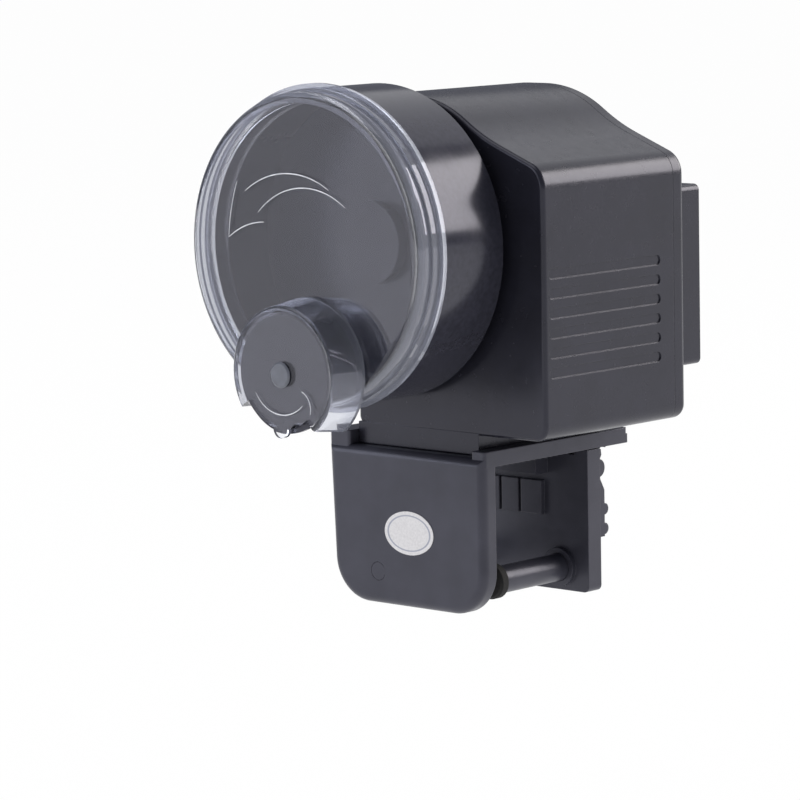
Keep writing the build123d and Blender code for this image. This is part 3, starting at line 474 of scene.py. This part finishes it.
def arc_through(first, middle, last, count=40):
    """Points of the circle through three points, as an array of (x, z)."""
    (ax, az), (bx, bz), (cx, cz) = first, middle, last
    d = 2 * (ax * (bz - cz) + bx * (cz - az) + cx * (az - bz))
    a2, b2, c2 = ax * ax + az * az, bx * bx + bz * bz, cx * cx + cz * cz
    ux = (a2 * (bz - cz) + b2 * (cz - az) + c2 * (az - bz)) / d
    uz = (a2 * (cx - bx) + b2 * (ax - cx) + c2 * (bx - ax)) / d
    angles = np.unwrap([np.arctan2(z - uz, x - ux) for x, z in (first, middle, last)])
    turn = np.linspace(angles[0], angles[2], count)
    radius = np.hypot(ax - ux, az - uz)
    return np.stack([ux + radius * np.cos(turn), uz + radius * np.sin(turn)], axis=1)


def marks_on_lid():
    """Arrow that shows which way the drum turns: outer and inner arcs and two edges of its head."""
    lines = {
        "arrow_outer": ((-17.7, 13.1), (-8.5, 17.1), (9.0, 14.2)),
        "arrow_inner": ((-13.6, 8.3), (-3.8, 13.8), (14.0, 10.4)),
        "arrow_head_back": ((-20.2, 15.3), (-22.3, 8.6), (-23.3, 2.1)),
        "arrow_head_low": ((-23.3, 2.1), (-18.0, 4.9), (-11.7, 6.1)),
    }
    for name, spots in lines.items():
        path = arc_through(*spots) * MM + np.array([drum_x, drum_z])
        bead(f"lid_{name}", path, lid_front, MARK_WIDTH, MARK_HEIGHT, cut, "lid")


def marks_on_dial():
    """Curved arrow under the dial's pivot that shows which way the dial turns."""
    lines = {
        "arrow_shaft": ((-8.2, -4.6), (-2.2, -9.0), (6.6, -6.6)),
        "arrow_head": ((6.2, -3.4), (8.4, -5.0), (8.9, -8.6)),
    }
    for name, spots in lines.items():
        path = arc_through(*spots) * MM + np.array([dial_x, dial_z])
        bead(f"dial_{name}", path, dial_front, MARK_WIDTH, MARK_HEIGHT, cut, "dial")


def ejector_mark():
    """Witness of the mould's ejector pin: a shallow ring, 4.4 mm across, on the front plate."""
    ring_x, ring_z, ring_radius = -10.0 * MM, -10.9 * MM, 2.2 * MM
    turn = np.linspace(0, 2 * pi, 61)
    path = np.stack([ring_x + ring_radius * np.cos(turn),
                     ring_z + ring_radius * np.sin(turn)], axis=1)
    bead("ejector_mark", path, plate_front, 0.3 * MM, 0.02 * MM, bracket_black, "bracket")


def flat_bar(name, middle, size, face_y, thickness, material):
    """Thin bar with slightly rounded ends that lies on a face looking towards +y.

    Its outline is a superellipse of power 6, lifted in two rings so that its rim is bevelled.
    """
    power = 6
    turn = np.linspace(0, 2 * pi, 33)[:-1]
    outline_x = np.sign(np.cos(turn)) * np.abs(np.cos(turn)) ** (2 / power) * size[0] / 2
    outline_z = np.sign(np.sin(turn)) * np.abs(np.sin(turn)) ** (2 / power) * size[1] / 2
    points = np.empty((3, len(turn), 3))
    for row, (shrink, lift) in enumerate(((1.0, 0.0), (1.0, 0.6), (0.86, 1.0))):
        points[row, :, 0] = middle[0] + outline_x * shrink
        points[row, :, 2] = middle[1] + outline_z * shrink
        points[row, :, 1] = face_y + thickness * lift
    return grid_mesh(name, points, material, "feeder", around=True)


def spring_coil():
    """Spring behind the release lever: a round wire carried along a helix of four turns about y.
    """
    low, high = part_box("lever_spring")
    wire = 0.28 * MM
    sweep = 4 * 2 * pi
    radius = (high.x - low.x) / 2 - wire
    turn = np.linspace(0, sweep, 161)[:, None]
    around = np.linspace(0, 2 * pi, 13)[None, :-1]
    outward = radius + wire * np.cos(around)
    points = np.empty((turn.size, around.size, 3))
    points[..., 0] = (low.x + high.x) / 2 + outward * np.sin(turn)
    length = high.y - low.y - 2 * wire
    points[..., 1] = low.y + wire + length * turn / sweep + wire * np.sin(around)
    points[..., 2] = (low.z + high.z) / 2 + outward * np.cos(turn)
    coil = grid_mesh("lever_spring_coil", points, steel, "moving_jaw", around=True)
    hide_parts("lever_spring")
    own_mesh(coil)


def screen_digits():
    """Plain clock reading of four seven-segment digits, made of thin bars on the screen's film."""
    segments = {"a": (0, 1, 1), "b": (0.5, 0.5, 0), "c": (0.5, -0.5, 0), "d": (0, -1, 1),
                "e": (-0.5, -0.5, 0), "f": (-0.5, 0.5, 0), "g": (0, 0, 1)}
    shown = {"1": "bc", "2": "abged", "0": "abcdef"}
    wide, tall, stroke = 2.6 * MM, 3.0 * MM, 0.55 * MM
    bar_height = 0.04 * MM
    middle_x = (window_low.x + window_high.x) / 2
    middle_z = (window_low.z + window_high.z) / 2
    black = segment_black()
    # seen from behind, x runs to the left, so the first digit is at the larger x
    for place, digit in zip((7.6, 3.2, -3.2, -7.6), "1200"):
        for letter in shown[digit]:
            across, up, level = segments[letter]
            spot = (middle_x + place * MM - across * wide, middle_z + up * tall)
            size = (wide - 0.8 * stroke, stroke) if level else (stroke, tall - 0.8 * stroke)
            flat_bar(f"digit_{int(place * 10 + 100)}_{letter}", spot, size, screen_face, bar_height,
                     black)
    for number, up in enumerate((-1.4, 1.4)):
        flat_bar(f"colon_{number}", (middle_x, middle_z + up * MM), (0.7 * MM, 0.7 * MM),
                 screen_face, bar_height, black)


def button_marks():
    """Printed marks over the buttons: a dot, a bar, a cross and a ring of four short bars."""
    above_cap, ink_height = 2.2 * MM, 0.06 * MM
    for name in ("button_mode", "button_minus", "button_plus", "button_feed"):
        low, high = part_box(name)
        x = (low.x + high.x) / 2
        z = high.z + above_cap
        bars = {"button_mode": [((0, 0), (1.2, 1.2))],
                "button_minus": [((0, 0), (2.2, 0.5))],
                "button_plus": [((0, 0), (2.2, 0.5)), ((0, 0.68), (0.5, 0.86)),
                                ((0, -0.68), (0.5, 0.86))],
                "button_feed": [((0.9, 0), (0.5, 1.4)), ((-0.9, 0), (0.5, 1.4)),
                                ((0, 0.9), (1.4, 0.5)), ((0, -0.9), (1.4, 0.5))]}[name]
        for number, ((right, up), (width, height)) in enumerate(bars):
            flat_bar(f"{name}_mark_{number}", (x + right * MM, z + up * MM),
                     (width * MM, height * MM), panel_face - SUNK, ink_height, ink)


marks_on_lid()
marks_on_dial()
ejector_mark()
spring_coil()
screen_digits()
button_marks()


# ---------------------------------------------------------------- stage, light and camera
def plain_floor(height, reach):
    """Round pale floor, a disc of rings about the object; it glows evenly, so it stays pale."""
    turn = np.linspace(0, 2 * pi, 97)
    rings = np.array([0.0, 0.5, 2.0, reach])
    points = np.zeros((len(rings), len(turn), 3))
    points[..., 0] = rings[:, None] * np.cos(turn)
    points[..., 1] = rings[:, None] * np.sin(turn)
    points[..., 2] = height
    mesh = bpy.data.meshes.new("studio_floor")
    mesh.from_pydata(points.reshape(-1, 3).tolist(), [], grid_faces(len(rings), len(turn)))
    floor = bpy.data.objects.new("studio_floor", mesh)
    bpy.context.scene.collection.objects.link(floor)
    paint = bpy.data.materials.new("matt_white_paint")
    paint.use_nodes = True
    shader = paint.node_tree.nodes["Principled BSDF"]
    shader.inputs["Base Color"].default_value = linear("#2a2a2a")
    shader.inputs["Roughness"].default_value = 0.9
    shader.inputs["Specular IOR Level"].default_value = 0.0
    shader.inputs["Emission Color"].default_value = (1, 1, 1, 1)
    shader.inputs["Emission Strength"].default_value = 0.98
    mesh.materials.append(paint)


def softbox(name, place, target, width, height, power, colour="#ffffff"):
    """Rectangular area light that looks at a target."""
    lamp = bpy.data.lights.new(name, "AREA")
    lamp.shape = "RECTANGLE"
    lamp.size = width
    lamp.size_y = height
    lamp.energy = power
    lamp.color = linear(colour)[:3]
    holder = bpy.data.objects.new(name, lamp)
    holder.location = place
    holder.rotation_euler = (Vector(target) - Vector(place)).to_track_quat("-Z", "Y").to_euler()
    bpy.context.scene.collection.objects.link(holder)


def studio_light():
    """Pale surroundings, a strong softbox behind on the right, weaker ones above, a front fill."""
    world = bpy.data.worlds.new("studio")
    bpy.context.scene.world = world
    world.use_nodes = True
    world.node_tree.nodes["Background"].inputs["Color"].default_value = linear("#dfe3f5")
    world.node_tree.nodes["Background"].inputs["Strength"].default_value = 0.22
    middle = (0.0, 0.0, 0.05)
    softbox("softbox_back_right", (0.7, 1.15, 0.6), middle,
            width=1.3, height=0.8, power=18.0, colour="#fffaf6")
    softbox("softbox_top_back", (-0.35, 1.15, 1.0), middle, width=1.3, height=0.7, power=2.0)
    softbox("softbox_top", (-0.3, -0.4, 1.6), middle, width=1.2, height=1.2, power=6.0)
    softbox("softbox_front", (-0.9, -1.2, 0.5), middle,
            width=1.2, height=0.9, power=9.0, colour="#f2f6ff")


def camera_at(azimuth, elevation, roll, distance, aim, lens):
    """Camera turned by azimuth about z from looking along +y, raised by elevation, then rolled."""
    data = bpy.data.cameras.new("camera")
    data.lens = lens
    data.sensor_width = 36.0
    data.clip_start = 0.01
    data.clip_end = 100.0
    holder = bpy.data.objects.new("camera", data)
    turn, lift = radians(azimuth), radians(elevation)
    forward = Vector((-sin(turn) * cos(lift), cos(turn) * cos(lift), -sin(lift)))
    level = Vector((cos(turn), sin(turn), 0.0))
    upright = level.cross(forward)
    right = level * cos(radians(roll)) + upright * sin(radians(roll))
    up = right.cross(forward)
    axes = Matrix((right, up, -forward)).transposed().to_4x4()
    holder.matrix_world = Matrix.Translation(Vector(aim) - forward * distance) @ axes
    bpy.context.scene.collection.objects.link(holder)
    bpy.context.scene.camera = holder


plain_floor(height=cad_box[0][2] - 60.0 * MM, reach=12.0)
studio_light()
camera_at(azimuth=42.43, elevation=7.55, roll=-1.10, distance=0.9165,
          aim=(12.57 * MM, -20.32 * MM, 33.6 * MM), lens=179.59)
bpy.context.scene.view_settings.view_transform = "Standard"
